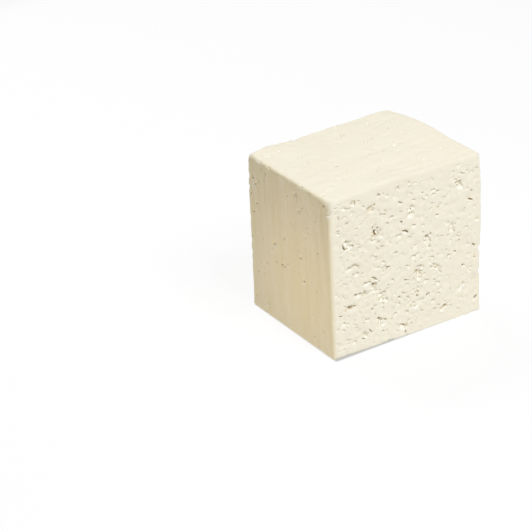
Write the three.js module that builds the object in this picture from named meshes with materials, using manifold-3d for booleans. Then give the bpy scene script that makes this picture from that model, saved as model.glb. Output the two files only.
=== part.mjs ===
// A block of fresh white cheese, cut from a pressed slab and standing on one of its pressed sides.
//
// The block is one solid. Its four walls and its top bulge and lean a little, as soft curd does, and its
// edges are worn round. Where the curd grains did not close up there are openings: many on the cut faces, and
// few on the pressed ones, which are the left side, the top and the foot. Millimetres, +Z up; the origin is
// the middle of the footprint, and -Y is the cut face with the most openings.

import * as THREE from "three";
import { mergeVertices } from "three/addons/utils/BufferGeometryUtils.js";
import Module from "manifold-3d";

// The block

const WIDTH = 101.2; // along X
const DEPTH = 84; // along Y
const HEIGHT = 97; // along Z
const EDGE_RADIUS = 1.6;
const FOOT_EDGE_RADIUS = 0.9;
const FOOT_REACH = 12; // up to here the foot's sharper edge runs out
const WALL_BULGE = 0.3;
const TOP_CROWN = 0.4;

// How far each corner stands off the true block: side along X, side along Y, side along Z, then the shift.
const CORNER_SHIFTS = [
  [-1, -1, 1, [-1.1, 0.5, -0.4]],
  [-1, 1, 1, [0.4, -0.6, -0.8]],
  [1, 1, 1, [-0.8, 0.7, 1.2]],
  [1, -1, 1, [0.4, 0, 0.8]],
  [-1, -1, -1, [0, 0.9, 0]],
  [1, -1, -1, [-1.2, -2.6, 0]],
];

// Corners worn rounder than the edges: where, and how much more radius.
const WEAR_REACH = 14;
const WORN_CORNERS = [
  [-1, -1, 1, 2.6],
  [1, 1, 1, 2],
  [-1, 1, 1, 1.6],
  [1, -1, 1, 1.2],
];

// Soft swellings and hollows of the surface: centre, reach, and how far the centre is pushed along each axis.
const SWELLS = [
  [[WIDTH / 2, 9, HEIGHT], 31, [1, 0, 1.1]],
  [[-9, -DEPTH / 2, HEIGHT], 20, [0, -0.3, 1.2]],
  [[-36, DEPTH / 2, HEIGHT], 20, [0, 0.3, 0.9]],
  [[24, DEPTH / 2, HEIGHT], 14, [0, 0, -0.5]],
  [[WIDTH / 2, -DEPTH / 2, 66], 42, [0.7, -0.2, 0]],
  [[-WIDTH / 2, 17, 70], 10, [-0.4, 0, 0]],
  [[-WIDTH / 2, -17, 68], 10, [-0.3, 0, 0]],
  [[WIDTH / 2, -12, 35], 26, [0.7, 0, 0]],
  [[10, DEPTH / 2, 45], 30, [0, 0.6, 0]],
];

// The openings
// Each face has its own directions: from its foot's middle, or the top's, along, up, and out of the cheese.

const FACES = {
  front: { foot: [0, -DEPTH / 2, 0], along: [1, 0, 0], up: [0, 0, 1], out: [0, -1, 0] },
  back: { foot: [0, DEPTH / 2, 0], along: [-1, 0, 0], up: [0, 0, 1], out: [0, 1, 0] },
  left: { foot: [-WIDTH / 2, 0, 0], along: [0, -1, 0], up: [0, 0, 1], out: [-1, 0, 0] },
  right: { foot: [WIDTH / 2, 0, 0], along: [0, 1, 0], up: [0, 0, 1], out: [1, 0, 0] },
  top: { foot: [0, 0, HEIGHT], along: [1, 0, 0], up: [0, 1, 0], out: [0, 0, 1] },
};

// The openings that stand out: along the face, up the face, length, height, and tilt in degrees.
const MAIN_OPENINGS = {
  front: [
    [-23.4, 84.6, 6.4, 4.2, 8],
    [35, 81.4, 5.2, 5.8, 0],
    [2.8, 77.8, 5.4, 2.4, 14],
    [2.6, 74.2, 5, 3, -4],
    [-39.2, 68.6, 6.6, 6.2, 24],
    [-21.2, 70.6, 10.4, 6.2, -6],
    [-3.1, 70.6, 2.2, 2, 0],
    [-1, 64.8, 5.4, 2.6, -32],
    [4.4, 66.4, 3, 2.4, 10],
    [-6, 63.6, 5, 2.2, 6],
    [14.2, 57, 6.6, 3.6, 24],
    [29.8, 57.8, 2.4, 5.6, -12],
    [-35.8, 54, 9.6, 2.6, -3],
    [-34.6, 48.8, 4.6, 2.8, 20],
    [-13, 46.4, 4.4, 3.6, 6],
    [5.8, 48.2, 4.2, 2.8, 10],
    [45.8, 42.6, 2.8, 3.2, -30],
    [7.6, 39.4, 5.4, 6.6, 8],
    [-22.6, 42.6, 4.2, 2.4, -24],
    [-23.2, 38, 4.8, 5, 20],
    [-27, 41.4, 5.4, 2.4, -8],
    [-31.8, 35.6, 9.6, 3, -7],
    [19.6, 37.2, 2.4, 4, 0],
    [-38.2, 29.2, 9.2, 3.4, 6],
    [-17.6, 30.2, 4.6, 5.4, -20],
    [-23, 24.4, 5.4, 2.2, 24],
    [-19.2, 15.6, 3.8, 5.2, 10],
    [24.6, 9.8, 5, 2.4, -10],
    [46.6, 9, 3, 2.6, 10],
    [-4, 7.2, 7.4, 3.2, -12],
    [-29.2, 10, 7.6, 3.4, 14],
    [2.6, 17.8, 3.6, 2, 16],
    [35.6, 18.6, 8.4, 1.8, 30],
  ],
  left: [
    [9.3, 89.4, 2.6, 2.6, -30],
    [-32, 82.4, 1.5, 2.6, 0],
    [-32, 68.6, 1.5, 1.8, 0],
    [13.6, 81, 2.8, 1.4, 20],
    [38, 92.2, 4, 2, 5],
  ],
  top: [
    [5.6, 26.6, 4.6, 2, -10],
    [-21, -7, 2, 1.8, 30],
    [-41.8, 30.6, 15, 1.6, 2],
    [-41.8, -30.6, 5.6, 1.5, 6],
    [20.4, -4, 5.2, 1.4, 55],
  ],
};

// Nicks on the edges: middle, then half sizes along X, Y and Z.
const EDGE_NICKS = [
  [[-WIDTH / 2, 29, HEIGHT], [2.6, 1.5, 1.6]],
  [[-WIDTH / 2, -16, HEIGHT], [1.4, 1.6, 1.2]],
  [[-WIDTH / 2, -DEPTH / 2, 90], [1.8, 1.8, 1.2]],
  [[-WIDTH / 2 - 0.6, -27, 0], [2.6, 6, 1.3]],
  [[-12, -DEPTH / 2 - 1, 0], [4, 2.4, 1.1]],
  [[28, -DEPTH / 2 - 1.4, 0], [3, 2.6, 0.9]],
  [[46, -DEPTH / 2 - 1.4, 0], [5, 2.6, 1]],
  [[WIDTH / 2, 22, 0], [2.2, 5, 1.2]],
  [[-20, DEPTH / 2, 0], [5, 2.2, 1.2]],
  [[WIDTH / 2, DEPTH / 2, 38], [1.6, 1.6, 2.4]],
];

// Smaller openings are scattered by a rule, the largest first. crowding says how much denser they lie low
// down and to the left.
const SCATTER = {
  front: { count: 36, largest: 3, smallest: 1.5, crowding: 0.7, seed: 20531 },
  right: { count: 32, largest: 5.6, smallest: 1.7, crowding: 0.3, seed: 20532 },
  back: { count: 22, largest: 4.8, smallest: 1.7, crowding: 0.3, seed: 20533 },
  left: { count: 4, largest: 1.8, smallest: 1.3, crowding: 0, seed: 20534 },
  top: { count: 4, largest: 1.7, smallest: 1.3, crowding: 0, seed: 20535 },
};
const SCATTER_MARGIN = 4; // between the openings and a face's edges
const SCATTER_GAP = 1.2; // between two scattered openings

const SCATTER_TILTS = [-24, 36]; // degrees
const FLATTEST = 0.5; // the least height of a scattered opening against its length

const DEPTH_SHARE = 0.42; // an opening's depth against the mean of its length and height
const DEEPEST = 2.6;
const LOBE_ROUGHNESS = 0.16;
const LOBE_SEED = 20531;
const BALL_PROUD = 0.25; // how far outside the face a hollow's ball is centred, against the opening's depth
const SMALL = 3.8; // openings under this are one plain hollow
const LONG = 4.8; // openings over this are two hollows that overlap
const WHOLE_LOBE = { offset: 0, share: 1, deep: 1 };
const TWO_LOBES = [
  { offset: -0.3, share: 0.68, deep: 1 },
  { offset: 0.42, share: 0.58, deep: 0.8 },
];

// Grid of the block's skin: segments along each edge, and how many of them, at each end, make the round edge.
const SEGMENTS = 12;
const ROUND_SEGMENTS = 2;

// A repeatable source of numbers from 0 to 1.
function seededDraws(seed) {
  const multiplier = 16807;
  const modulus = 2147483647;
  let state = seed;
  return () => {
    state = (state * multiplier) % modulus;
    return state / modulus;
  };
}

function add(a, b, scale = 1) {
  return a.map((value, i) => value + scale * b[i]);
}

function distance(a, b) {
  return Math.hypot(...a.map((value, i) => value - b[i]));
}

// 1 at the centre of a swelling or a worn corner, and 0 at its reach.
function falloff(apart, reach) {
  const t = Math.max(0, 1 - (apart / reach) ** 2);
  return t * t;
}

function cornerPoint(sideX, sideY, sideZ) {
  return [(sideX * WIDTH) / 2, (sideY * DEPTH) / 2, ((sideZ + 1) * HEIGHT) / 2];
}

// The radius of the rounded edge nearest to a point.
function edgeRadius(point) {
  const upFromFoot = Math.min(1, point[2] / FOOT_REACH);
  const plain = FOOT_EDGE_RADIUS + (EDGE_RADIUS - FOOT_EDGE_RADIUS) * upFromFoot;
  return WORN_CORNERS.reduce(
    (radius, [x, y, z, extra]) => radius + extra * falloff(distance(point, cornerPoint(x, y, z)), WEAR_REACH),
    plain,
  );
}

// How far the block's corners pull a point with them.
function cornerShift(point) {
  const share = [point[0] / (WIDTH / 2), point[1] / (DEPTH / 2), (2 * point[2]) / HEIGHT - 1];
  return CORNER_SHIFTS.reduce((shift, [x, y, z, by]) => {
    const weight = ((1 + x * share[0]) * (1 + y * share[1]) * (1 + z * share[2])) / 8;
    return add(shift, by, weight);
  }, [0, 0, 0]);
}

// How far the bulge of the walls, the crown of the top and the swells move a point. The foot stays flat.
function softening(point, normal) {
  const [x, y, z] = point;
  const acrossX = Math.cos((Math.PI * x) / WIDTH);
  const acrossY = Math.cos((Math.PI * y) / DEPTH);
  const upZ = Math.sin((Math.PI * z) / HEIGHT);
  const wall = WALL_BULGE * upZ * (normal[0] ** 2 * acrossY + normal[1] ** 2 * acrossX);
  const top = normal[2] > 0 ? TOP_CROWN * normal[2] ** 2 * acrossX * acrossY : 0;
  const bulged = normal.map((value) => value * (wall + top));
  return SWELLS.reduce(
    (move, [at, reach, push]) => add(move, push, falloff(distance(point, at), reach)),
    bulged,
  );
}

// Takes a place on the cube from -1 to 1 to the block's skin.
function skinPoint(cube) {
  const half = [WIDTH / 2, DEPTH / 2, HEIGHT / 2];
  const flatShare = 1 - (2 * ROUND_SEGMENTS) / SEGMENTS;
  const sharp = cube.map((t, i) => {
    const beyond = Math.max(0, Math.abs(t) - flatShare) / (1 - flatShare);
    const within = Math.min(1, Math.abs(t) / flatShare);
    return Math.sign(t) * (within * (half[i] - EDGE_RADIUS) + beyond * EDGE_RADIUS);
  });
  const radius = edgeRadius([sharp[0], sharp[1], sharp[2] + half[2]]);
  const scaled = sharp.map((value, i) => {
    const excess = Math.max(0, Math.abs(value) - (half[i] - EDGE_RADIUS)) / EDGE_RADIUS;
    const flat = Math.min(Math.abs(value), half[i] - EDGE_RADIUS) / (half[i] - EDGE_RADIUS);
    return { core: Math.sign(value) * flat * (half[i] - radius), excess: Math.sign(value) * excess };
  });
  const length = Math.hypot(...scaled.map((s) => s.excess));
  const normal = scaled.map((s) => s.excess / length);
  const round = add(scaled.map((s) => s.core), normal, radius);
  const onBlock = [round[0], round[1], round[2] + half[2]];
  const softened = normal[2] < -0.5 ? onBlock : add(onBlock, softening(onBlock, normal));
  return add(softened, cornerShift(onBlock));
}

// Deforms a closed three.js geometry point by point and hands back its shared vertices only.
function deformed(geometry, place) {
  geometry.deleteAttribute("normal");
  geometry.deleteAttribute("uv");
  const merged = mergeVertices(geometry, 1e-4);
  const position = merged.getAttribute("position");
  for (let i = 0; i < position.count; i += 1) {
    position.setXYZ(i, ...place([position.getX(i), position.getY(i), position.getZ(i)]));
  }
  return merged;
}

// A point on a face, so far along, up and out.
function onFace(face, along, up, out) {
  return add(add(add(face.foot, face.along, along), face.up, up), face.out, out);
}

// One round hollow of an opening: an uneven ball, stretched along the opening, that reaches into the cheese.
function lobe(face, opening, { offset, share, deep }, detail, draw) {
  const depth = deep * Math.min(DEEPEST, (DEPTH_SHARE * (opening.length + opening.height)) / 2);
  const tilt = THREE.MathUtils.degToRad(opening.tilt);
  const ball = new THREE.IcosahedronGeometry(1, detail);
  const surface = onFace(face, opening.along, opening.up, 0);
  const moved = add(softening(surface, face.out), cornerShift(surface));
  return deformed(ball, (unit) => {
    const rough = 1 + LOBE_ROUGHNESS * (2 * draw() - 1);
    const long = (offset * opening.length) / 2 + (unit[0] * share * rough * opening.length) / 2;
    const high = (unit[1] * rough * opening.height) / 2;
    const along = opening.along + long * Math.cos(tilt) - high * Math.sin(tilt);
    const up = opening.up + long * Math.sin(tilt) + high * Math.cos(tilt);
    const out = (BALL_PROUD + (1 + BALL_PROUD) * unit[2] * rough) * depth;
    return add(onFace(face, along, up, out), moved);
  });
}

// An opening's hollows: two that overlap in a long one, and one in a small one.
function openingHollows(face, opening, draw) {
  if (opening.length < SMALL && opening.height < SMALL) {
    return [lobe(face, opening, WHOLE_LOBE, 0, draw)];
  }
  if (opening.length < LONG) {
    return [lobe(face, opening, WHOLE_LOBE, 1, draw)];
  }
  return TWO_LOBES.map((shape) => lobe(face, opening, shape, 1, draw));
}

// The scattered openings of one face, clear of each other and of the main ones.
function scattered(faceName, taken) {
  const { count, largest, smallest, crowding, seed } = SCATTER[faceName];
  const draw = seededDraws(seed);
  const wide = faceName === "left" || faceName === "right" ? DEPTH : WIDTH;
  const tall = faceName === "top" ? DEPTH : HEIGHT;
  const lowest = faceName === "top" ? -tall / 2 : 0;
  const found = [];
  while (found.length < count) {
    const length = largest * (smallest / largest) ** (found.length / count);
    const opening = {
      along: (draw() - 0.5) * (wide - 2 * SCATTER_MARGIN),
      up: lowest + SCATTER_MARGIN + draw() * (tall - 2 * SCATTER_MARGIN),
      length,
      height: length * (FLATTEST + (1 - FLATTEST) * draw()),
      tilt: THREE.MathUtils.lerp(...SCATTER_TILTS, draw()),
    };
    const lowAndLeft = 1 - (opening.along / wide + opening.up / tall + 0.5) / 2;
    const wanted = draw() < 1 - crowding + crowding * lowAndLeft;
    const clear = [...taken, ...found].every(
      (other) =>
        Math.hypot(other.along - opening.along, other.up - opening.up) >
        (other.length + opening.length) / 2 + SCATTER_GAP,
    );
    if (wanted && clear) {
      found.push(opening);
    }
  }
  return found;
}

function nickHollow([at, halfSizes], draw) {
  const ball = new THREE.IcosahedronGeometry(1, 1);
  return deformed(ball, (unit) => {
    const rough = 1 + LOBE_ROUGHNESS * (2 * draw() - 1);
    return unit.map((value, i) => at[i] + rough * value * halfSizes[i]);
  });
}

const wasm = await Module();
wasm.setup();

function solidOf(geometry) {
  const vertProperties = new Float32Array(geometry.getAttribute("position").array);
  const triVerts = new Uint32Array(geometry.getIndex().array);
  return new wasm.Manifold(new wasm.Mesh({ numProp: 3, vertProperties, triVerts }));
}

function geometryOf(solid) {
  const { vertProperties, triVerts } = solid.getMesh();
  const geometry = new THREE.BufferGeometry();
  geometry.setAttribute("position", new THREE.BufferAttribute(vertProperties, 3));
  geometry.setIndex(new THREE.BufferAttribute(triVerts, 1));
  geometry.computeVertexNormals();
  return geometry;
}

function cheeseGeometry() {
  const draw = seededDraws(LOBE_SEED);
  const skin = deformed(new THREE.BoxGeometry(2, 2, 2, SEGMENTS, SEGMENTS, SEGMENTS), skinPoint);
  const hollows = EDGE_NICKS.map((nick) => nickHollow(nick, draw));
  for (const [faceName, face] of Object.entries(FACES)) {
    const main = (MAIN_OPENINGS[faceName] ?? []).map(([along, up, length, height, tilt]) => (
      { along, up, length, height, tilt }
    ));
    for (const opening of [...main, ...scattered(faceName, main)]) {
      hollows.push(...openingHollows(face, opening, draw));
    }
  }
  const block = hollows.reduce((cheese, hollow) => cheese.subtract(solidOf(hollow)), solidOf(skin));
  return geometryOf(block);
}

const whiteCheese = new THREE.MeshStandardMaterial({ color: 0xf3ecda, roughness: 0.55, metalness: 0 });

const cheese = new THREE.Mesh(cheeseGeometry(), whiteCheese);
cheese.name = "cheese_block";

// The swells reach a little further on one side than on the other, so the block is set back over the origin.
cheese.geometry.computeBoundingBox();
const middle = cheese.geometry.boundingBox.getCenter(new THREE.Vector3());
cheese.position.set(-middle.x, -middle.y, 0);

const part = new THREE.Group();
part.name = "fresh_white_cheese";
part.add(cheese);

export default part;
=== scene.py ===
from math import cos, pi, radians, sin

import bpy
import numpy as np
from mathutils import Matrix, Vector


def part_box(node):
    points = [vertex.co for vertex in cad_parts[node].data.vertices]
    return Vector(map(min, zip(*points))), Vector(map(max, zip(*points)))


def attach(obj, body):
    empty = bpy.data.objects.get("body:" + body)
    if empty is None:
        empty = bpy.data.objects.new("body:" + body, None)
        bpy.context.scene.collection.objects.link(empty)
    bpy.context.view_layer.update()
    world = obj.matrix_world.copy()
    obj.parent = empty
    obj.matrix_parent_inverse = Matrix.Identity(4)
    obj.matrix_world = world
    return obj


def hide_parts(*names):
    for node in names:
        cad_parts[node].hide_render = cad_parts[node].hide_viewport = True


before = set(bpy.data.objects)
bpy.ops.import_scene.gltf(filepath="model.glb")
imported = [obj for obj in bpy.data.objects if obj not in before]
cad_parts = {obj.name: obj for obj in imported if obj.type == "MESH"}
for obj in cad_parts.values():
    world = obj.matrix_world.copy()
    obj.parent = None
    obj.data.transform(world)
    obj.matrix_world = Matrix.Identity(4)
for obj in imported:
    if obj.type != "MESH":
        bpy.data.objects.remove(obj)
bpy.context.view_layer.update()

import openvdb
from mathutils import Matrix, Vector

# The block of fresh white cheese
# One piece of curd that was pressed in a slab and cut into a block. It is moist, soft and matt, and its edges
# are worn a little round. Its cut faces show the gaps that pressing left in the curd. Its left side lay
# against the mould and is smooth; a warmer, darker cream is painted on it as shade.

MM = 0.001
WIDTH, DEPTH, HEIGHT = 101.2, 84, 97
EDGE_RADIUS = 1.6
FOOT_EDGE_RADIUS = 0.9
FOOT_REACH = 12
EDGE_REACH = 0.9
WALL_BULGE = 0.3
TOP_CROWN = 0.4

# How far each corner stands off the true block: its side along X, Y and Z, then the shift.
CORNER_SHIFTS = [
    ((-1, -1, 1), (-1.1, 0.5, -0.4)),
    ((-1, 1, 1), (0.4, -0.6, -0.8)),
    ((1, 1, 1), (-0.8, 0.7, 1.2)),
    ((1, -1, 1), (0.4, 0, 0.8)),
    ((-1, -1, -1), (0, 0.9, 0)),
    ((1, -1, -1), (-1.2, -2.6, 0)),
]

# Corners worn rounder than the edges, and by how much more radius.
WEAR_REACH = 14
WORN_CORNERS = [((-1, -1, 1), 2.6), ((1, 1, 1), 2), ((-1, 1, 1), 1.6), ((1, -1, 1), 1.2)]

# Soft swellings and hollows: centre, reach, and how far the centre is pushed along each axis.
SWELLS = [
    ((WIDTH / 2, 9, HEIGHT), 31, (1, 0, 1.1)),
    ((-9, -DEPTH / 2, HEIGHT), 20, (0, -0.3, 1.2)),
    ((-36, DEPTH / 2, HEIGHT), 20, (0, 0.3, 0.9)),
    ((24, DEPTH / 2, HEIGHT), 14, (0, 0, -0.5)),
    ((WIDTH / 2, -DEPTH / 2, 66), 42, (0.7, -0.2, 0)),
    ((-WIDTH / 2, 17, 70), 10, (-0.4, 0, 0)),
    ((-WIDTH / 2, -17, 68), 10, (-0.3, 0, 0)),
    ((WIDTH / 2, -12, 35), 26, (0.7, 0, 0)),
    ((10, DEPTH / 2, 45), 30, (0, 0.6, 0)),
]

# The grid on which the block's skin is worked out, with room for the corners and swells that stand out.
VOXEL = 0.32
GRID_MARGIN = 2.4
ROOM_LOW, ROOM_HIGH = (0, 2, 0), (0, 1, 1)
grid_low = np.array([-WIDTH / 2, -DEPTH / 2, 0]) - GRID_MARGIN - ROOM_LOW
grid_high = np.array([WIDTH / 2, DEPTH / 2, HEIGHT]) + GRID_MARGIN + ROOM_HIGH
grid_shape = tuple(np.ceil((grid_high - grid_low) / VOXEL).astype(int))
grid_axes = [grid_low[i] + VOXEL * np.arange(grid_shape[i]) for i in range(3)]
here = [
    np.asarray(grid_axes[i], np.float32).reshape([-1 if i == k else 1 for k in range(3)])
    for i in range(3)
]


def falloff(apart_squared, reach):
    near = np.maximum(0, 1 - apart_squared / reach**2)
    return near * near


def apart_squared(places, point):
    return sum((places[i] - point[i]) ** 2 for i in range(3))


def corner_place(sides):
    return (sides[0] * WIDTH / 2, sides[1] * DEPTH / 2, (sides[2] + 1) * HEIGHT / 2)


def true_places(places):
    """Takes places in the slumped block back to where they were in a true one."""
    share = (places[0] / (WIDTH / 2), places[1] / (DEPTH / 2), 2 * places[2] / HEIGHT - 1)
    moves = [0, 0, 0]
    for sides, shift in CORNER_SHIFTS:
        weight = (1 + sides[0] * share[0]) * (1 + sides[1] * share[1]) * (1 + sides[2] * share[2]) / 8
        moves = [moves[i] + shift[i] * weight for i in range(3)]
    for centre, reach, push in SWELLS:
        weight = falloff(apart_squared(places, centre), reach)
        moves = [moves[i] + push[i] * weight for i in range(3)]
    return [(places[i] - moves[i]).astype(np.float32) for i in range(3)]


def block_distance(true):
    """The distance to the block's skin, less than 0 inside, and how near an edge is, from 0 to 1."""
    up_from_foot = np.clip(true[2] / FOOT_REACH, 0, 1)
    radius = FOOT_EDGE_RADIUS + (EDGE_RADIUS - FOOT_EDGE_RADIUS) * up_from_foot
    for sides, extra in WORN_CORNERS:
        radius = radius + extra * falloff(apart_squared(true, corner_place(sides)), WEAR_REACH)
    across_x = np.cos(pi * np.clip(true[0] / WIDTH, -0.5, 0.5))
    across_y = np.cos(pi * np.clip(true[1] / DEPTH, -0.5, 0.5))
    up_z = np.sin(pi * np.clip(true[2] / HEIGHT, 0, 1))
    beyond = (
        np.abs(true[0]) - (WIDTH / 2 + WALL_BULGE * up_z * across_y - radius),
        np.abs(true[1]) - (DEPTH / 2 + WALL_BULGE * up_z * across_x - radius),
        np.maximum(true[2] - (HEIGHT + TOP_CROWN * across_x * across_y - radius), radius - true[2]),
    )
    outside = np.sqrt(sum(np.maximum(b, 0) ** 2 for b in beyond))
    first = np.maximum(beyond[0], beyond[1])
    inside = np.minimum(np.maximum(first, beyond[2]), 0)
    second = np.maximum(np.minimum(beyond[0], beyond[1]), np.minimum(first, beyond[2]))
    near_edge = np.exp(np.minimum(second, 0) / EDGE_REACH)
    return (outside + inside - radius).astype(np.float32), near_edge.astype(np.float32)


# Smooth random fields, of mean 0 and spread 1: a lattice of random values under cubic splines.
SPLINE_SPREAD = 0.479
lattice_draws = np.random.default_rng(4127)


def spline_pieces(place):
    """The lattice point under each place, and the weights of it and the three after it."""
    whole = np.floor(place).astype(int)
    t = (place - whole).astype(np.float32)
    return whole, [
        (1 - t) ** 3 / 6,
        (3 * t**3 - 6 * t**2 + 4) / 6,
        (-3 * t**3 + 3 * t**2 + 3 * t + 1) / 6,
        t**3 / 6,
    ]


def random_lumps(shape, spacing):
    """A random field in three directions, with lumps about as large as spacing."""
    weights = []
    for count in shape:
        whole, pieces = spline_pieces(np.arange(count) * VOXEL / spacing)
        weight = np.zeros((count, whole[-1] + 4), np.float32)
        for k, piece in enumerate(pieces):
            weight[np.arange(count), whole + k] = piece
        weights.append(weight)
    lattice = lattice_draws.standard_normal([w.shape[1] for w in weights]).astype(np.float32)
    field = np.tensordot(weights[0], lattice, (1, 0))
    field = np.matmul(np.matmul(weights[1], field), weights[2].T)
    return field / SPLINE_SPREAD**1.5


def random_sheet(shape, spacings, rise):
    """A random field over a face. Its lumps are as long as spacings, and climb by rise along the face."""
    whole, pieces = spline_pieces(np.arange(shape[0]) * VOXEL / spacings[0])
    climb = rise * (np.arange(shape[0])[:, None] if rise < 0 else np.arange(shape[0])[::-1, None])
    other_whole, other_pieces = spline_pieces((np.arange(shape[1]) + np.abs(climb)) * VOXEL / spacings[1])
    lattice = lattice_draws.standard_normal((whole[-1] + 4, other_whole.max() + 4)).astype(np.float32)
    mixed = sum(piece[:, None] * lattice[whole + k] for k, piece in enumerate(pieces))
    field = sum(piece * np.take_along_axis(mixed, other_whole + k, 1) for k, piece in enumerate(other_pieces))
    return field / SPLINE_SPREAD


def smooth_max(a, b, softness):
    blend = np.maximum(softness - np.abs(a - b), 0) / softness
    return np.maximum(a, b) + blend * blend * softness / 4


true = true_places(here)
skin, near_edge = block_distance(true)

# The relief of each face, as layers of lumps: their size along it and up it, how they climb, and their depth.
# The cut faces show the curd's grain, and the pressed ones the faint drag of the cloth they were pressed in.
CUT_RELIEF = [((9, 9), 0.1, 0.09), ((3.2, 3), 0.15, 0.14), ((1.7, 1.4), 0.2, 0.16), ((0.9, 0.9), 0, 0.1)]
RELIEF = {
    "left": [((7, 11), 0, 0.12), ((3.4, 40), 0, 0.22), ((1.3, 18), 0, 0.1), ((1.4, 1.6), 0, 0.06)],
    "right": CUT_RELIEF,
    "front": CUT_RELIEF,
    "back": CUT_RELIEF,
    "foot": [((9, 9), 0, 0)],
    "top": [((9, 9), 0, 0.1), ((26, 2.6), 0.05, 0.05), ((9, 1.1), 0.08, 0.045), ((1.6, 1.4), 0, 0.07)],
}
FACE_REACH = 3
# How far the relief may stand out, and by what share it is calmed at an edge.
MOST_PROUD, PROUD_SOFTNESS = 0.22, 0.3
EDGE_CALM = 0.6
SIDES = {
    "left": (0, -WIDTH / 2), "right": (0, WIDTH / 2), "front": (1, -DEPTH / 2), "back": (1, DEPTH / 2),
    "foot": (2, 0), "top": (2, HEIGHT),
}
relief = np.zeros(grid_shape, np.float32)
shares = np.zeros(grid_shape, np.float32)
for face_name, (axis, level) in SIDES.items():
    along, up = (i for i in range(3) if i != axis)
    sheet_shape = (grid_shape[along], grid_shape[up])
    sheet = sum(
        depth * random_sheet(sheet_shape, lengths, rise) for lengths, rise, depth in RELIEF[face_name]
    )
    near_face = np.exp(-np.abs(true[axis] - level) / FACE_REACH) ** 2
    relief += near_face * np.expand_dims(sheet, axis)
    shares += near_face
relief = smooth_max(relief / shares, -MOST_PROUD, PROUD_SOFTNESS)
cheese = skin + relief * (1 - EDGE_CALM * near_edge)
del relief, shares

# The edges crumble: a little everywhere, and in chips where the curd was weak.
CRUMB_SIZE = 1.9
CRUMBLE, PROUDEST_CRUMB = 0.05, -1
CHIP_DEPTH, CHIP_RARITY = 0.26, 0.9
crumble = random_lumps(grid_shape, CRUMB_SIZE)
chips = CHIP_DEPTH * np.maximum(crumble - CHIP_RARITY, 0)
cheese += near_edge * (CRUMBLE * np.maximum(crumble, PROUDEST_CRUMB) + chips)
del crumble, chips, near_edge

# The openings in the block
# Each face has its own directions: from its foot's middle, or the top's, along, up, and out of the cheese.
FACES = {
    "front": ((0, -DEPTH / 2, 0), (1, 0, 0), (0, 0, 1), (0, -1, 0)),
    "back": ((0, DEPTH / 2, 0), (-1, 0, 0), (0, 0, 1), (0, 1, 0)),
    "left": ((-WIDTH / 2, 0, 0), (0, -1, 0), (0, 0, 1), (-1, 0, 0)),
    "right": ((WIDTH / 2, 0, 0), (0, 1, 0), (0, 0, 1), (1, 0, 0)),
    "top": ((0, 0, HEIGHT), (1, 0, 0), (0, 1, 0), (0, 0, 1)),
}
CUT_FACES = ("front", "back", "right")

# The openings that stand out: along the face, up the face, length, height, and tilt in degrees.
MAIN_OPENINGS = {
    "front": [
        (-23.4, 84.6, 6.4, 4.2, 8), (35, 81.4, 5.2, 5.8, 0), (2.8, 77.8, 5.4, 2.4, 14),
        (2.6, 74.2, 5, 3, -4), (-39.2, 68.6, 6.6, 6.2, 24),
        (-3.1, 70.6, 2.2, 2, 0), (-1, 64.8, 5.4, 2.6, -32), (4.4, 66.4, 3, 2.4, 10),
        (-6, 63.6, 5, 2.2, 6), (14.2, 57, 6.6, 3.6, 24), (29.8, 57.8, 2.4, 5.6, -12),
        (-35.8, 54, 9.6, 2.6, -3), (-34.6, 48.8, 4.6, 2.8, 20), (-13, 46.4, 4.4, 3.6, 6),
        (5.8, 48.2, 4.2, 2.8, 10), (45.8, 42.6, 2.8, 3.2, -30), (7.6, 39.4, 5.4, 6.6, 8),
        (-22.6, 42.6, 4.2, 2.4, -24), (-23.2, 38, 4.8, 5, 20), (-27, 41.4, 5.4, 2.4, -8),
        (-31.8, 35.6, 9.6, 3, -7), (19.6, 37.2, 2.4, 4, 0), (-38.2, 29.2, 9.2, 3.4, 6),
        (-17.6, 30.2, 4.6, 5.4, -20), (-23, 24.4, 5.4, 2.2, 24), (-19.2, 15.6, 3.8, 5.2, 10),
        (24.6, 9.8, 5, 2.4, -10), (46.6, 9, 3, 2.6, 10), (-4, 7.2, 7.4, 3.2, -12),
        (-29.2, 10, 7.6, 3.4, 14), (2.6, 17.8, 3.6, 2, 16), (35.6, 18.6, 8.4, 1.8, 30),
    ],
    "left": [
        (9.3, 89.4, 2.6, 2.6, -30), (-32, 82.4, 1.5, 2.6, 0), (-32, 68.6, 1.5, 1.8, 0),
        (13.6, 81, 2.8, 1.4, 20), (38, 92.2, 4, 2, 5),
    ],
    "top": [
        (5.6, 26.6, 4.6, 2, -10), (-21, -7, 2, 1.8, 30), (-41.8, 30.6, 15, 1.6, 2),
        (-41.8, -30.6, 5.6, 1.5, 6), (20.4, -4, 5.2, 1.4, 55),
    ],
}

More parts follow.
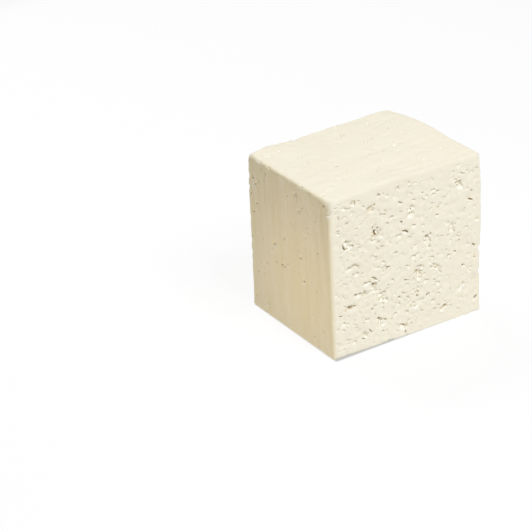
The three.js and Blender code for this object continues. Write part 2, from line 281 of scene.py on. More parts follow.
# Shallow dips where a grain came away, given as the openings are.
DIPS = {"front": [
    (-38.6, 67.8, 5.4, 6.2, 20), (-21, 69, 10.4, 8, -6), (-19.7, 61.3, 3.4, 3.2, 0),
    (0.5, 92.2, 4, 3.2, 10), (14.3, 54.2, 2.8, 5.6, 10), (35.4, 80.7, 4.8, 5.6, 0),
    (30.5, 57.1, 2.8, 3.8, 0), (-23.4, 34.2, 7.2, 4.4, 0), (-14.9, 27.7, 3.2, 5, 0),
    (-16.9, 13.2, 6, 4.4, 10), (5.4, 17.5, 6, 3.2, 30), (36.6, 18.7, 11, 2.4, 42), (6.8, 35, 2.8, 4, 0),
    (35, 93.6, 3.4, 1.8, 35), (47.6, 77.5, 1.8, 4, 0), (-5, 6.5, 5.4, 3.2, 0),
], "left": [
    (9, 88.4, 3, 5, -20), (8.3, 90, 1.6, 1.6, 0), (-32.9, 82.4, 1.8, 2.6, 0), (-32.9, 68.6, 1.8, 1.8, 0),
    (11.9, 80.7, 2, 1.6, 0), (15.4, 82.7, 2, 1.8, 0), (1.1, 86.6, 1.6, 1.8, 0), (-0.6, 83.8, 1.6, 1.6, 0),
    (37.2, 92.4, 3, 1.6, 0), (20, 75, 2, 3.4, 0), (-22, 91, 1.6, 3, 0), (30, 60, 1.8, 4, 0),
    (4, 70, 1.8, 3, 0), (24, 88, 1.6, 2.4, 0),
], "top": [
    (11.4, 9.6, 3, 2, 0), (22.9, -1, 3, 1.6, 10), (17, -12.6, 2.6, 1.6, 0), (-31, -21.6, 2.6, 2, 0),
]}

# The gaps that show dark between the curd grains: width, depth, then the places on the face, along and up it,
# that the gap runs through.
GAPS = {"front": [
    (1.1, 2.2, (-25.8, 85.8), (-23.6, 86)), (0.8, 1.6, (-24.6, 85.6), (-25.1, 83.7)),
    (0.5, 1, (-23.5, 84.5), (-21.7, 83.5)), (0.7, 1.2, (-41.2, 70.3), (-39.9, 71.4)),
    (1.2, 2.2, (-42, 68.3), (-41.6, 66.4), (-40.5, 65.1), (-39.8, 65.7)),
    (1.5, 2.6, (-22.9, 73.5), (-22.9, 73)), (1.5, 2.6, (-19, 72.6), (-18.8, 72)),
    (1.8, 3, (-20.8, 70.6), (-20.9, 70.1), (-21, 69.2)),
    (0.8, 1.2, (-24, 68.7), (-21.9, 68.4), (-21, 68.8)),
    (0.8, 1.2, (-20.4, 68.2), (-18.7, 67.9), (-17.8, 68.4)), (1, 1.8, (-3.6, 71), (-3.4, 70.7)),
    (0.6, 1.4, (-8, 63.8), (-6.1, 63.9), (-4.7, 64.5)), (1.2, 2.6, (-3, 66.4), (-2, 65.4), (0, 64.3)),
    (0.9, 1.6, (-7.5, 54.5), (-7.3, 54.2)), (0.8, 1.6, (0.2, 78.3), (2.6, 78.8), (4.2, 79.1)),
    (0.7, 1.8, (-0, 75.3), (3, 74.7)), (0.7, 1.4, (3.2, 66.5), (4.6, 67.3)),
    (1.3, 2.8, (11.4, 57.2), (13.2, 57.4), (13.9, 57.8)), (0.8, 1.6, (13.9, 58.1), (15.8, 59.4)),
    (0.6, 1, (16.1, 76.1), (17.7, 76.7)), (0.9, 1.8, (20.5, 72.5), (21.9, 72.7)),
    (1.1, 2.6, (32.3, 83.3), (33.8, 84.1), (35.9, 83.9)), (0.7, 1.2, (38.1, 66.1), (39.3, 66.7)),
    (0.8, 1.6, (29.1, 57.6), (28.3, 56.8), (28.1, 55.9)), (0.6, 1, (40, 87.8), (41.1, 88.7)),
    (0.7, 1, (-41.4, 53.4), (-38.9, 53.6), (-37.5, 54.5)),
    (0.7, 1.3, (-37.5, 54.5), (-35.4, 54.6), (-33.1, 53.7), (-32.3, 52)),
    (1.1, 2, (-36.1, 48.7), (-34.9, 49.2)), (0.6, 1, (-34.9, 49.2), (-32.8, 49.7)),
    (1.3, 3, (-14.4, 46.9), (-13.4, 47.3), (-12.1, 47)), (1, 2, (-24, 43.4), (-21.4, 42.6)),
    (0.9, 1.4, (-28.9, 42.3), (-27.9, 42.1)), (0.9, 1.4, (-26, 41.7), (-24.6, 41.2)),
    (0.7, 1, (-20.7, 39.8), (-19.2, 40.4)), (1.4, 2.4, (-23.4, 37.7), (-22.7, 38.9), (-22.4, 40.1)),
    (1, 1.8, (-35.9, 35.9), (-34.3, 36.4), (-32, 36.2)),
    (0.7, 1, (-31, 34.2), (-29.3, 34.6), (-26.9, 34.7)), (0.9, 1.4, (-17.2, 32.8), (-15, 32.4)),
    (1.3, 2.2, (-19.3, 29.1), (-17.7, 29.2)), (0.8, 1.4, (-25.1, 24.1), (-23.2, 24.8)),
    (0.6, 1, (-23.2, 24.8), (-20.6, 26.1)), (0.9, 1.4, (-16.8, 23.5), (-16.5, 23)),
    (0.6, 0.9, (-43.1, 32.1), (-41.1, 30.1), (-39.7, 29)), (1.4, 3, (-39.7, 29), (-37.2, 28.4)),
    (0.7, 1.5, (-37.2, 28.4), (-35.5, 29.7), (-34.5, 30.4)), (0.8, 1.2, (-41, 28.7), (-41.9, 26.9)),
    (1.4, 2.6, (-20, 17), (-19.9, 15.7)), (0.7, 1.2, (-20.2, 15.8), (-21, 13.8)),
    (0.8, 0.9, (-31.5, 10.1), (-30, 11), (-28.7, 11.1)), (0.8, 1, (-27, 12.8), (-26, 11.7), (-24.6, 10.1)),
    (1.1, 1, (-35, 8.9), (-34.4, 8.8)), (1.2, 1.3, (-31.3, 7.4), (-30.2, 7.1)),
    (1, 1.4, (-17.5, 8), (-17, 7.6)), (1, 1.8, (-6.9, 8), (-5.4, 8.1)),
    (0.7, 1.2, (-5.4, 8.1), (-3.3, 7.1)), (1.1, 2, (-2.9, 6.4), (-1.9, 6.6), (-1.5, 7.8)),
    (0.6, 1, (-1.5, 7.8), (0.7, 9.6)), (0.9, 1.4, (-2.5, 3), (-2.1, 2.1)),
    (1, 1.6, (-1.2, 0.8), (-0.8, 0.3)), (0.7, 1, (6.5, 28.1), (6.8, 27.5)),
    (0.8, 1.2, (6.2, 25.9), (7.1, 25.5)), (1, 1.8, (5.5, 23.5), (6.5, 22.7)),
    (0.6, 0.9, (-1.6, 24.8), (0.7, 24.3)), (1, 1.6, (1.3, 17.6), (2, 18.2)),
    (0.6, 0.9, (2, 18.2), (3.4, 19), (5.2, 19.2)), (0.9, 1.6, (22, 10.8), (23.9, 10.1)),
    (1.4, 2.6, (23.9, 10.1), (26, 10.3)), (0.9, 1, (34.2, 5.8), (34.9, 5.8)),
    (1.3, 2.4, (46.4, 9.3), (47.8, 9.8)), (0.7, 0.9, (34.3, 18.5), (35.7, 19.2)),
    (1, 1.8, (4.9, 48.1), (6.2, 48.7)), (0.5, 0.9, (1.7, 48.1), (4.7, 48.1)),
    (0.8, 1.2, (-1.4, 44.2), (0.4, 43.5)), (1, 1.8, (6.4, 41.7), (8.5, 41.8)),
    (0.6, 1.2, (5, 40.4), (6.4, 41.7)), (1.5, 2, (6.6, 38.4), (6.9, 37), (6.6, 36.1)),
    (0.6, 1, (18.1, 39.1), (18.5, 38)), (0.8, 1.4, (18.8, 37.3), (19.6, 35.9)),
    (1.2, 2.4, (44.9, 43.7), (46.4, 42.2)), (1, 1.8, (-2.4, 35.5), (-0.9, 35.1)),
    (0.5, 1, (-0.9, 35.1), (1.1, 35.3)),
], "left": [
    (1.1, 1.8, (9.9, 90.9), (9.2, 89.9)), (0.8, 1.1, (-32.9, 69.4), (-32.4, 69)),
    (0.8, 1, (11.9, 81.4), (12.5, 81.2)), (0.8, 1, (15.4, 83.6), (16, 83.4)),
    (0.9, 1, (37.2, 93.2), (38.4, 93)),
], "top": [
    (0.9, 1.2, (4.2, 27.2), (5.4, 27.4), (7, 26.8)), (0.8, 1, (-22, -6.6), (-20.6, -6.2)),
    (0.7, 0.9, (10.4, 10.3), (12, 10.5)), (0.7, 0.8, (22, -0.4), (23.6, 0)),
    (0.6, 0.8, (16.4, -12), (17.6, -11.6)), (0.7, 0.9, (-31.8, -21), (-30.4, -20.8)),
    (0.6, 0.7, (34, 14), (35.4, 14.4)),
]}

# Smaller openings are scattered by a rule, the largest first, denser low down and to the left.
SCATTER = {
    "front": dict(count=36, largest=3, smallest=1.5, crowding=0.7, seed=20531),
    "right": dict(count=32, largest=5.6, smallest=1.7, crowding=0.3, seed=20532),
    "back": dict(count=22, largest=4.8, smallest=1.7, crowding=0.3, seed=20533),
    "left": dict(count=4, largest=1.8, smallest=1.3, crowding=0, seed=20534),
    "top": dict(count=4, largest=1.7, smallest=1.3, crowding=0, seed=20535),
}
# Fine gaps, no wider than a hair, cover the cut faces. They mostly climb to the right, as the curd was laid.
HAIR_GAPS = {
    "front": dict(count=210, largest=3.6, smallest=0.5, crowding=0.5, seed=31),
    "right": dict(count=190, largest=4.2, smallest=0.5, crowding=0.3, seed=32),
    "back": dict(count=210, largest=4.2, smallest=0.5, crowding=0.3, seed=33),
    "left": dict(count=26, largest=1.6, smallest=0.4, crowding=0, seed=34),
    "top": dict(count=34, largest=1.8, smallest=0.4, crowding=0, seed=35),
}
# Faint dips as small as a grain, between the fine gaps.
GRAIN_DIPS = {
    "front": dict(count=130, largest=3.4, smallest=1.3, crowding=0.7, seed=41),
    "right": dict(count=120, largest=3.8, smallest=1.3, crowding=0.3, seed=42),
    "back": dict(count=150, largest=3.8, smallest=1.3, crowding=0.3, seed=43),
    "left": dict(count=24, largest=2.4, smallest=1.2, crowding=0, seed=44),
    "top": dict(count=24, largest=2.4, smallest=1.2, crowding=0, seed=45),
}
SCATTER_MARGIN, SCATTER_GAP = 4, 1.2
HAIR_MARGIN, HAIR_OVERLAP = 2.6, 0.3
GRAIN_MARGIN = 3.6
SCATTER_TILTS = (-24, 36)
FLATTEST = 0.5


def seeded_draws(seed):
    """Random numbers from 0 to 1, each made from the last."""
    state = seed
    while True:
        state = state * 16807 % 2147483647
        yield state / 2147483647


def drawn(draws, least, most):
    """The next random number, from least to most."""
    return least + (most - least) * next(draws)


def scattered(face_name, rule, taken, margin, gap):
    """Openings of one face, placed by rule, clear of each other and of those already taken."""
    draw = seeded_draws(rule["seed"])
    wide = DEPTH if face_name in ("left", "right") else WIDTH
    tall = DEPTH if face_name == "top" else HEIGHT
    lowest = -tall / 2 if face_name == "top" else 0
    found = []
    while len(found) < rule["count"]:
        length = rule["largest"] * (rule["smallest"] / rule["largest"]) ** (len(found) / rule["count"])
        along = (next(draw) - 0.5) * (wide - 2 * margin)
        up = lowest + margin + next(draw) * (tall - 2 * margin)
        height = length * drawn(draw, FLATTEST, 1)
        tilt = drawn(draw, *SCATTER_TILTS)
        low_and_left = 1 - (along / wide + up / tall + 0.5) / 2
        wanted = next(draw) < 1 - rule["crowding"] + rule["crowding"] * low_and_left
        clear = all(
            np.hypot(other[0] - along, other[1] - up) > (other[2] + length) / 2 + gap
            for other in taken + found
        )
        if wanted and clear:
            found.append((along, up, length, height, tilt))
    return found


# An opening is a scoop that slopes down to a gap under its upper lip. Its depth is a share of the mean of its
# length and height, and curd grains bulge into it, so many for each mm of its length.
SCOOP = dict(depth_share=0.32, deepest=1.4, lean=0.1, uneven=0.22, grains=0.2)
DIP = dict(depth_share=0.17, deepest=0.8, lean=0, uneven=0.2, grains=0)
GRAIN_DIP = dict(depth_share=0.22, deepest=0.6, lean=0, uneven=0.25, grains=0)
PRESSED_SCOOP = dict(depth_share=0.13, deepest=0.4, lean=0, uneven=0.3, grains=0)
MOST_UNEVEN = 0.7
SCOOP_ROOM = 1.2
# The grains in an opening, as shares of its height and depth, and the share of them that its upper rim has.
GRAIN_SIZE, GRAIN_OFF_MIDDLE, GRAIN_SUNK = (0.3, 0.55), (0.3, 0.65), (0.25, 0.75)
UPPER_GRAINS = 0.6
# The gap under an upper lip: its least width, its width and depth as shares of the opening, and where it
# starts, is highest and ends, as shares of the opening's length and height.
LIP_GAP_LEAST, LIP_GAP_WIDTH, LIP_GAP_DEPTH = 0.4, 0.24, 0.7
LIP_START, LIP_TOP_ALONG, LIP_TOP_UP, LIP_END = (-0.4, 0.16), (-0.05, 0.15), 0.4, (0.36, 0.24)
HAIR_WIDTH, HAIR_DEPTH, HAIR_BEND = (0.5, 0.9), (0.35, 0.9), 0.22
# A gap leans as it goes in, wanders, and is cut past the face by a share of its depth. It is finer at its
# ends by another share, once it is so many widths long.
GAP_LEAN, GAP_UNEVEN, GAP_RIM = 0.5, 0.28, 0.2
GAP_TAPER, TAPERED_WIDTHS = 0.5, 3
RIM_SOFTNESS = 0.22

# The walls' unevenness: a tile of random lumps for each axis, as shares and sizes.
TILE = 80
WALL_LUMPS = ((0.75, 1.4), (0.5, 0.8))
uneven = [
    sum(share * random_lumps((TILE,) * 3, size) for share, size in WALL_LUMPS)
    for axis in range(3)
]
wall_draws = seeded_draws(7919)

UNOPENED = 9
scoops = np.full(grid_shape, UNOPENED, np.float32)
gaps = np.full(grid_shape, UNOPENED, np.float32)


def window_round(centre, reach):
    """The part of the grid round a place, and the random unevenness of each axis over it."""
    low = np.clip(((centre - reach - grid_low) / VOXEL).astype(int), 0, grid_shape)
    high = np.clip(((centre + reach - grid_low) / VOXEL).astype(int) + 2, 0, grid_shape)
    size = high - low
    start = [int(next(wall_draws) * (TILE - size[i])) for i in range(3)]
    tile = tuple(slice(start[i], start[i] + size[i]) for i in range(3))
    return tuple(slice(low[i], high[i]) for i in range(3)), [field[tile] for field in uneven]


def local_places(face_name, along, up, reach):
    """The window round a place on a face, how far its points are along, up and out, and their wander."""
    foot, along_way, up_way, out_way = (np.array(part, float) for part in FACES[face_name])
    centre = foot + along * along_way + up * up_way
    index = np.clip(((centre - grid_low) / VOXEL).round().astype(int), 0, np.array(grid_shape) - 1)
    in_slumped_block = centre + centre - np.array([true[i][tuple(index)] for i in range(3)])
    window, wander = window_round(in_slumped_block, reach)
    off = [true[i][window] - centre[i] for i in range(3)]
    ways = [sum(off[i] * way[i] for i in range(3)) for way in (along_way, up_way, out_way)]
    wanders = [sum(wander[i] * way[i] for i in range(3)) for way in (along_way, up_way, out_way)]
    return window, ways, wanders


def scoop_out(face_name, opening, way):
    """Adds one opening: an uneven scoop that is deepest at its upper rim."""
    along, up, length, height, tilt = opening
    depth = min(way["deepest"], way["depth_share"] * (length + height) / 2)
    window, ways, wanders = local_places(face_name, along, up, max(length, height) / 2 + depth + SCOOP_ROOM)
    rough = min(MOST_UNEVEN, way["uneven"] * min(length, height))
    right, above, out = (ways[i] + rough * wanders[i] for i in range(3))
    above = above + way["lean"] * np.minimum(out, 0)
    turn = radians(tilt)
    long = right * cos(turn) + above * sin(turn)
    high = above * cos(turn) - right * sin(turn)
    rim = (np.hypot(2 * long / length, 2 * high / height) - 1) * min(length, height) / 2
    deep = depth * np.clip(0.5 + high / height, 0, 1) * np.sqrt(np.clip(1 - (2 * long / length) ** 2, 0, 1))
    scoop = np.maximum(rim, -out - deep)
    for grain in range(round(way["grains"] * length)):
        size = height * drawn(wall_draws, *GRAIN_SIZE)
        place = length * (next(wall_draws) - 0.5)
        side = (1 if next(wall_draws) < UPPER_GRAINS else -1) * height * drawn(wall_draws, *GRAIN_OFF_MIDDLE)
        sunk_in = depth * drawn(wall_draws, *GRAIN_SUNK)
        ball = np.sqrt((long - place) ** 2 + (high - side) ** 2 + (out + sunk_in) ** 2) - size
        scoop = np.maximum(scoop, -ball)
    scoops[window] = np.minimum(scoops[window], scoop)


def lip_gap(opening):
    """The gap under an opening's upper lip: its width, its depth and its course."""
    along, up, length, height, tilt = opening
    turn = radians(tilt)
    course = []
    for long_share, high_share in (LIP_START, (drawn(wall_draws, *LIP_TOP_ALONG), LIP_TOP_UP), LIP_END):
        long, high = long_share * length, high_share * height
        course.append((along + long * cos(turn) - high * sin(turn), up + long * sin(turn) + high * cos(turn)))
    size = (length + height) / 2
    return LIP_GAP_LEAST + LIP_GAP_WIDTH * size, LIP_GAP_DEPTH * size, course


def open_gap(face_name, width, depth, places):
    """Adds a gap between curd grains: a slit through places on a face, finer at its ends."""
    places = np.array(places, float)
    middle = (places.min(0) + places.max(0)) / 2
    reach = np.abs(places - middle).max() + width + depth
    window, ways, wanders = local_places(face_name, *middle, reach)
    right, above, out = (ways[i] + GAP_UNEVEN * width * wanders[i] for i in range(3))
    above = above + GAP_LEAN * np.minimum(out, 0)
    steps = np.diff(places, axis=0)
    lengths = np.hypot(*steps.T)
    taper = GAP_TAPER * min(1, lengths.sum() / (TAPERED_WIDTHS * width))
    gap = np.full(out.shape, UNOPENED, np.float32)
    for k, ((x, y), (step_x, step_y)) in enumerate(zip(places - middle, steps)):
        along = np.clip(((right - x) * step_x + (above - y) * step_y) / lengths[k] ** 2, 0, 1)
        apart = np.hypot(right - x - along * step_x, above - y - along * step_y)
        so_far = (lengths[:k].sum() + along * lengths[k]) / lengths.sum()
        half = width / 2 * (1 - taper * (2 * so_far - 1) ** 2)
        sunk = np.minimum(out, GAP_RIM * depth) / depth
        slit = (np.sqrt((apart / half) ** 2 + sunk**2) - 1) * half
        gap = np.minimum(gap, slit)
    gaps[window] = np.minimum(gaps[window], gap)


def hair_gap(opening):
    """The bent course of a fine gap, and its width and depth."""
    along, up, length, height, tilt = opening
    across = radians(tilt)
    half = np.array([cos(across), sin(across)]) * length / 2
    bend = np.array([-sin(across), cos(across)]) * length * HAIR_BEND * (2 * next(wall_draws) - 1)
    middle = np.array([along, up])
    width = drawn(wall_draws, *HAIR_WIDTH)
    depth = HAIR_DEPTH[0] + (HAIR_DEPTH[1] - HAIR_DEPTH[0]) * next(wall_draws) ** 2
    return width, depth, (middle - half, middle + bend, middle + half)


for face_name in FACES:
    cut = face_name in CUT_FACES
    main = MAIN_OPENINGS.get(face_name, [])
    small = scattered(face_name, SCATTER[face_name], main, SCATTER_MARGIN, SCATTER_GAP)
    dips, given_gaps = DIPS.get(face_name, []), GAPS.get(face_name, [])
    placed = main + dips + [(*start, width, width, 0) for width, depth, start, *rest in given_gaps]
    hairs = scattered(face_name, HAIR_GAPS[face_name], main + small, HAIR_MARGIN, -HAIR_OVERLAP)
    for opening in main + small:
        scoop_out(face_name, opening, SCOOP if cut else PRESSED_SCOOP)
    for opening in dips:
        scoop_out(face_name, opening, DIP)
    for opening in scattered(face_name, GRAIN_DIPS[face_name], placed + small, GRAIN_MARGIN, 0):
        scoop_out(face_name, opening, GRAIN_DIP if cut else PRESSED_SCOOP)
    lipped = small if face_name == "front" else main + small if cut else []
    for opening in lipped:
        open_gap(face_name, *lip_gap(opening))
    for opening in hairs:
        open_gap(face_name, *hair_gap(opening))
    for width, depth, *places in given_gaps:
        open_gap(face_name, width, depth, places)

# Nicks on the edges: middle, then half sizes along each axis.
EDGE_NICKS = [
    ((-WIDTH / 2, 29, HEIGHT), (1.8, 1.2, 1.6)),
    ((-WIDTH / 2, 18.4, HEIGHT), (0.9, 1.3, 0.8)),
    ((-WIDTH / 2, 7, HEIGHT), (0.8, 1.1, 0.7)),
    ((-WIDTH / 2, -16, HEIGHT), (1.3, 1.5, 1)),
    ((-WIDTH / 2, -28, HEIGHT), (0.8, 1.2, 0.8)),
    ((-WIDTH / 2, -DEPTH / 2, 90), (1.8, 1.8, 1.2)),
    ((-WIDTH / 2 - 0.6, -27, 0), (2.2, 5, 1.1)),
    ((-12, -DEPTH / 2 - 1, 0), (4, 2.4, 1.1)),
    ((28, -DEPTH / 2 - 1.4, 0), (3, 2.6, 0.9)),
    ((46, -DEPTH / 2 - 1.4, 0), (5, 2.6, 1)),
    ((WIDTH / 2, 22, 0), (2.2, 5, 1.2)),
    ((-20, DEPTH / 2, 0), (5, 2.2, 1.2)),
    ((WIDTH / 2, DEPTH / 2, 38), (1.6, 1.6, 2.4)),
]
NICK_UNEVEN = 0.5
NICK_REACH = 9
for centre, half_sizes in EDGE_NICKS:
    window, wander = window_round(np.array(centre), NICK_REACH)
    off = [(true[i][window] - centre[i] + NICK_UNEVEN * wander[i]) / half_sizes[i] for i in range(3)]
    nick = (np.sqrt(sum(o * o for o in off)) - 1) * min(half_sizes)
    scoops[window] = np.minimum(scoops[window], nick)

# The openings are taken out, the foot is cut flat, and the skin becomes a mesh.
cheese = smooth_max(cheese, -np.minimum(scoops, gaps), RIM_SOFTNESS)
cheese = np.maximum(cheese, -here[2])
volume = openvdb.FloatGrid(GRID_MARGIN)
volume.copyFromArray(np.ascontiguousarray(np.clip(cheese, -GRID_MARGIN, GRID_MARGIN), dtype=np.float32))
points, quads = volume.convertToQuads(0.0)


def largest_part(points, quads):
    """The largest joined part of a surface, without the pockets and crumbs that the openings cut off."""
    lowest, before = np.arange(len(points)), None
    while before is None or (lowest != before).any():
        before = lowest.copy()
        least = before[quads].min(1)
        for side in quads.T:
            np.minimum.at(lowest, before[side], least)
            np.minimum.at(lowest, side, least)
        lowest = lowest[lowest]
    part = lowest[quads[:, 0]]
    used, kept = np.unique(quads[part == np.bincount(part).argmax()], return_inverse=True)
    return points[used], kept.reshape(-1, 4)


points, quads = largest_part(grid_low + VOXEL * points.astype(float), quads.astype(int))

MOST_TRIANGLES = 195000
raw = bpy.data.meshes.new("cheese_raw")
raw.from_pydata(points.tolist(), [], quads[:, ::-1].tolist())
raw_block = bpy.data.objects.new("cheese_raw", raw)
bpy.context.scene.collection.objects.link(raw_block)
thin = raw_block.modifiers.new("thin", "DECIMATE")
thin.ratio = MOST_TRIANGLES / (2 * len(quads))
thinned = raw_block.evaluated_get(bpy.context.evaluated_depsgraph_get())
mesh = bpy.data.meshes.new_from_object(thinned)
bpy.data.objects.remove(raw_block)
bpy.data.meshes.remove(raw)
mesh.name = "fresh_cheese"
mesh.shade_smooth()
points = np.empty(len(mesh.vertices) * 3, np.float32)
mesh.vertices.foreach_get("co", points)
points = points.reshape(-1, 3).astype(float)

# What each point of the mesh reads from the grid: how deep it is in a gap, where shade is painted dark;
# whether it lies under an opening, where a highlight is painted on the lit lower lip; and whether it is on
# the left side, where a warmer, darker shade is painted.
WALL_REACH = 0.35
# Where the painted shade deep in a gap starts, and how fast it deepens.
GAP_SHADE_FROM, GAP_SHADE_FADE = 0.25, 0.9
# How far above a point the painted highlight looks for an opening, and how that highlight fades.
HIGHLIGHT_REACH, HIGHLIGHT_DEPTH = 0.9, 0.45
HIGHLIGHT_HIGHEST, HIGHLIGHT_DEEPEST, HIGHLIGHT_FADE = 0.8, 0.7, 0.5
# The reach of the painted warm shade on the left side.
SIDE_SHADE_REACH = 2.4


def read_grid(field, places):
    """The value of a field at each place, from the eight points of the grid round it."""
    place = (places - grid_low) / VOXEL
    whole = np.clip(place.astype(int), 0, np.array(grid_shape) - 2)
    share = place - whole
    value = np.zeros(len(places))
    for step in np.ndindex(2, 2, 2):
        value += np.prod(np.where(step, share, 1 - share), axis=1) * field[tuple((whole + step).T)]
    return value


above = points + (0, 0, HIGHLIGHT_REACH)
sunk = -read_grid(skin, points)
in_gap = np.clip(1 - read_grid(gaps, points) / WALL_REACH, 0, 1)
under_scoop = np.clip(-read_grid(scoops, above) / HIGHLIGHT_DEPTH, 0, 1) * (1 - in_gap)
under_gap = np.clip(-read_grid(gaps, above) / HIGHLIGHT_DEPTH, 0, 1)
under_gap *= np.clip((HIGHLIGHT_DEEPEST - sunk) / HIGHLIGHT_FADE, 0, 1)
under_skin = np.clip((HIGHLIGHT_HIGHEST - read_grid(skin, above)) / HIGHLIGHT_FADE, 0, 1)
readings = {
    "gap_shade": in_gap * np.clip((sunk - GAP_SHADE_FROM) / GAP_SHADE_FADE, 0, 1),
    "lip_highlight": np.maximum(under_scoop, under_gap) * under_skin,
    "shade_left_side": np.clip(1 - (read_grid(true[0], points) + WIDTH / 2) / SIDE_SHADE_REACH, 0, 1),
}
for name, values in readings.items():
    mesh.attributes.new(name, "FLOAT", "POINT").data.foreach_set("value", values.astype(np.float32))

# Set back over the origin, in the box of the solid that the piece stands for.
low, high = (np.array(corner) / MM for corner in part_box("cheese_block"))
points = low + (points - points.min(0)) * (high - low) / (points.max(0) - points.min(0))
mesh.vertices.foreach_set("co", (points * MM).astype(np.float32).ravel())
mesh.update()

cheese_block = bpy.data.objects.new("fresh_cheese", mesh)
bpy.context.scene.collection.objects.link(cheese_block)


class Shade:
    """One value of a material's node tree. Arithmetic on it adds Math nodes."""

    def __init__(self, tree, socket):
        self.tree = tree
        self.socket = socket

    def node(self, kind, settings, inputs, output=0):
        new = self.tree.nodes.new(kind)
        for name, value in settings.items():
            setattr(new, name, value)
        for key, value in inputs.items():
            if isinstance(value, Shade):
                self.tree.links.new(value.socket, new.inputs[key])
            else:
                new.inputs[key].default_value = value
        return Shade(self.tree, new.outputs[output])

    def maths(self, operation, first, second):
        return self.node("ShaderNodeMath", {"operation": operation}, {0: first, 1: second})

    def __add__(self, other):
        return self.maths("ADD", self, other)

    def __radd__(self, other):
        return self.maths("ADD", other, self)

    def __mul__(self, other):
        return self.maths("MULTIPLY", self, other)

    def __rmul__(self, other):
        return self.maths("MULTIPLY", other, self)


CREAM = (0.975, 0.925, 0.785, 1)
DEEP_CREAM = (0.875, 0.815, 0.64, 1)
# Painted highlight on the lower lips of the openings.
HIGHLIGHT_CREAM = (0.99, 0.975, 0.89, 1)
# Painted warm shade of the left side.
SHADED_SIDE_CREAM = (0.8, 0.7, 0.44, 1)
# Painted shade deep in the gaps.
GAP_SHADE_CREAM = (0.72, 0.63, 0.47, 1)
BROAD_SHARE, MOTTLE_SHARE, FINE_SHARE = 0.35, 0.4, 0.25
HIGHLIGHT_SHARE = 0.8
STREAK_STRETCH = (1, 1, 0.07)
LEAST_ROUGH, ROUGH_SPREAD = 0.5, 0.14
BUMP_HEIGHT = 0.28 * MM

curd = bpy.data.materials.new("white_curd")
curd.use_nodes = True
tree = curd.node_tree
shader = tree.nodes["Principled BSDF"]
on_curd = Shade(tree, None)
place = on_curd.node("ShaderNodeTexCoord", {}, {}, "Object")
stretched = on_curd.node("ShaderNodeVectorMath", {"operation": "MULTIPLY"}, {0: place, 1: STREAK_STRETCH})


def noise(where, scale, detail, roughness):
    return on_curd.node("ShaderNodeTexNoise", {}, {
        "Vector": where, "Scale": scale, "Detail": detail, "Roughness": roughness,
    })


def mixed(share, first, second):
    return on_curd.node("ShaderNodeMix", {"data_type": "RGBA"}, {0: share, 6: first, 7: second}, 2)


broad, mottle, fine = noise(place, 45, 3, 0.6), noise(place, 280, 2, 0.6), noise(place, 900, 3, 0.6)
streaks, grain = noise(stretched, 260, 2, 0.6), noise(place, 620, 3, 0.65)
gap_shade, lip_highlight, shade_left_side = (
    on_curd.node("ShaderNodeAttribute", {"attribute_name": name}, {}, "Fac") for name in readings
)
painted_side_shade = shade_left_side * on_curd.node("ShaderNodeMapRange", {}, {
    "Value": streaks, "From Min": 0.36, "From Max": 0.64, "To Min": 0.66, "To Max": 0.9,
})
tone = mixed(broad * BROAD_SHARE + mottle * MOTTLE_SHARE + fine * FINE_SHARE, CREAM, DEEP_CREAM)
# Painted warm shade on the left side, streaked.
tone = mixed(painted_side_shade, tone, SHADED_SIDE_CREAM)
# Painted highlight on the lower lips of the openings.
tone = mixed(lip_highlight * HIGHLIGHT_SHARE, tone, HIGHLIGHT_CREAM)
# Painted shade deep in the gaps.
tone = mixed(gap_shade, tone, GAP_SHADE_CREAM)
rough = LEAST_ROUGH + ROUGH_SPREAD * fine
bump = on_curd.node("ShaderNodeBump", {}, {"Strength": 0.6, "Distance": BUMP_HEIGHT, "Height": grain})
for socket_name, value in {"Base Color": tone, "Roughness": rough, "Normal": bump}.items():
    tree.links.new(value.socket, shader.inputs[socket_name])
shader.inputs["Specular IOR Level"].default_value = 0.35
mesh.materials.append(curd)
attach(cheese_block, "root")
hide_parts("cheese_block")

# The floor
# A matt white studio floor that glows round the block, so that it shows pure white behind it. It is shaded
# close to the foot, and it fades far away.

FLOOR_HALF = 4
FLOOR_GREY, FLOOR_GLOW = 0.12, 0.88
GLOW_MIDDLE, GLOW_RADIUS, GLOW_FADE, GLOW_FAR = (0.1, 0.17, 0), 0.44, 0.25, 0.4
FOOT_HALF = (0.049, 0.0408)
SHADE_REACH, SHADE_FLOOR = 0.0021, 0.5
floor_mesh = bpy.data.meshes.new("floor")
floor_corners = [(x * FLOOR_HALF, y * FLOOR_HALF, 0) for x, y in ((-1, -1), (1, -1), (1, 1), (-1, 1))]
floor_mesh.from_pydata(floor_corners, [], [(0, 1, 2, 3)])
floor = bpy.data.objects.new("floor", floor_mesh)
bpy.context.scene.collection.objects.link(floor)
pale = bpy.data.materials.new("pale_floor")
pale.use_nodes = True
pale_shader = pale.node_tree.nodes["Principled BSDF"]
pale_shader.inputs["Base Color"].default_value = (FLOOR_GREY, FLOOR_GREY, FLOOR_GREY, 1)
pale_shader.inputs["Emission Strength"].default_value = FLOOR_GLOW
pale_shader.inputs["Roughness"].default_value = 0.8
pale_shader.inputs["Specular IOR Level"].default_value = 0.1
on_floor = Shade(pale.node_tree, None)
floor_place = on_floor.node("ShaderNodeTexCoord", {}, {}, "Object")
from_middle = on_floor.node("ShaderNodeVectorMath", {"operation": "DISTANCE"}, {
    0: floor_place, 1: GLOW_MIDDLE,
}, "Value")
far = on_floor.node("ShaderNodeMapRange", {"interpolation_type": "SMOOTHSTEP"}, {
    "Value": from_middle, "From Min": GLOW_RADIUS, "From Max": GLOW_RADIUS + GLOW_FADE,
    "To Min": 1, "To Max": GLOW_FAR,
})
off_middle = on_floor.node("ShaderNodeVectorMath", {"operation": "ABSOLUTE"}, {0: floor_place})
past_foot = on_floor.node("ShaderNodeVectorMath", {"operation": "SUBTRACT"}, {
    0: off_middle, 1: (*FOOT_HALF, 1),
})
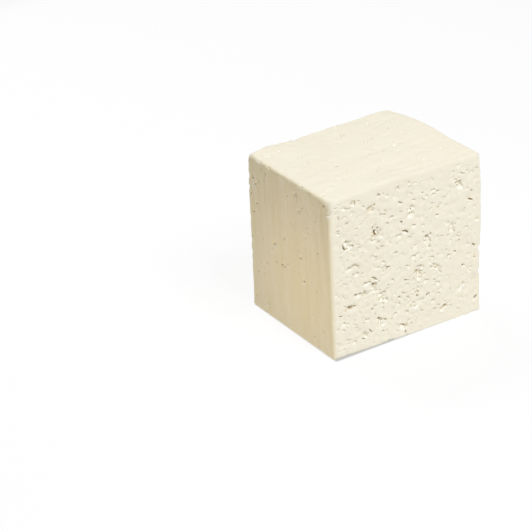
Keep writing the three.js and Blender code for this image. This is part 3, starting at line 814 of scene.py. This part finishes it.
past_foot = on_floor.node("ShaderNodeVectorMath", {"operation": "MAXIMUM"}, {0: past_foot, 1: (0, 0, 0)})
from_foot = on_floor.node("ShaderNodeVectorMath", {"operation": "LENGTH"}, {0: past_foot}, "Value")
near = on_floor.node("ShaderNodeMapRange", {"interpolation_type": "SMOOTHSTEP"}, {
    "Value": from_foot, "From Min": 0, "From Max": SHADE_REACH, "To Min": SHADE_FLOOR, "To Max": 1,
})
glow = far * near
glow_colour = on_floor.node("ShaderNodeCombineColor", {}, {0: glow, 1: glow, 2: glow})
pale.node_tree.links.new(glow_colour.socket, pale_shader.inputs["Emission Color"])
floor_mesh.materials.append(pale)

# The light
# A large soft lamp above the front, a second behind and above, and a warm card low down beside the left side.

WORLD_STRENGTH = 0.06
LIGHT_AIM = Vector((0, 0, 0.05))
world = bpy.data.worlds.new("studio")
world.use_nodes = True
world.node_tree.nodes["Background"].inputs["Color"].default_value = (1, 1, 1, 1)
world.node_tree.nodes["Background"].inputs["Strength"].default_value = WORLD_STRENGTH
bpy.context.scene.world = world

# Each lamp's place, size, power and colour.
LIGHTS = [
    ("key", (0.07, -0.7, 0.98), 0.5, 11, (0.99, 0.99, 1)),
    ("back_light", (-0.1, 0.75, 0.85), 0.5, 5.7, (0.99, 0.99, 1)),
    ("warm_card", (-0.13, -0.02, 0.04), 0.07, 0.02, (1, 0.8, 0.55)),
]
for name, location, size, power, colour in LIGHTS:
    lamp = bpy.data.lights.new(name, "AREA")
    lamp.size = size
    lamp.energy = power
    lamp.color = colour
    holder = bpy.data.objects.new(name, lamp)
    holder.location = location
    holder.rotation_euler = (LIGHT_AIM - Vector(location)).to_track_quat("-Z", "Y").to_euler()
    holder.visible_camera = False
    bpy.context.scene.collection.objects.link(holder)

bpy.context.scene.view_settings.view_transform = "Standard"

# The camera
# It stands where the photograph's did: to the left of the front, a little above, and very slightly turned.

CAMERA_AZIMUTH, CAMERA_ELEVATION, CAMERA_ROLL = radians(-31.34), radians(27.22), radians(-3)
CAMERA_DISTANCE = 0.9872
LENS_LENGTH, SENSOR_WIDTH = 117.4, 36
FRAME_MIDDLE = Vector((-0.0527, 0.0228, 0.0339))
back = Vector((
    sin(CAMERA_AZIMUTH) * cos(CAMERA_ELEVATION),
    -cos(CAMERA_AZIMUTH) * cos(CAMERA_ELEVATION),
    sin(CAMERA_ELEVATION),
))
level_right = Vector((cos(CAMERA_AZIMUTH), sin(CAMERA_AZIMUTH), 0))
level_up = back.cross(level_right)
right = cos(CAMERA_ROLL) * level_right + sin(CAMERA_ROLL) * level_up
up = back.cross(right)
lens = bpy.data.cameras.new("camera")
lens.sensor_width = SENSOR_WIDTH
lens.lens = LENS_LENGTH
camera = bpy.data.objects.new("camera", lens)
turned = Matrix((right, up, back)).transposed().to_4x4()
camera.matrix_world = Matrix.Translation(FRAME_MIDDLE + CAMERA_DISTANCE * back) @ turned
bpy.context.scene.collection.objects.link(camera)
bpy.context.scene.camera = camera
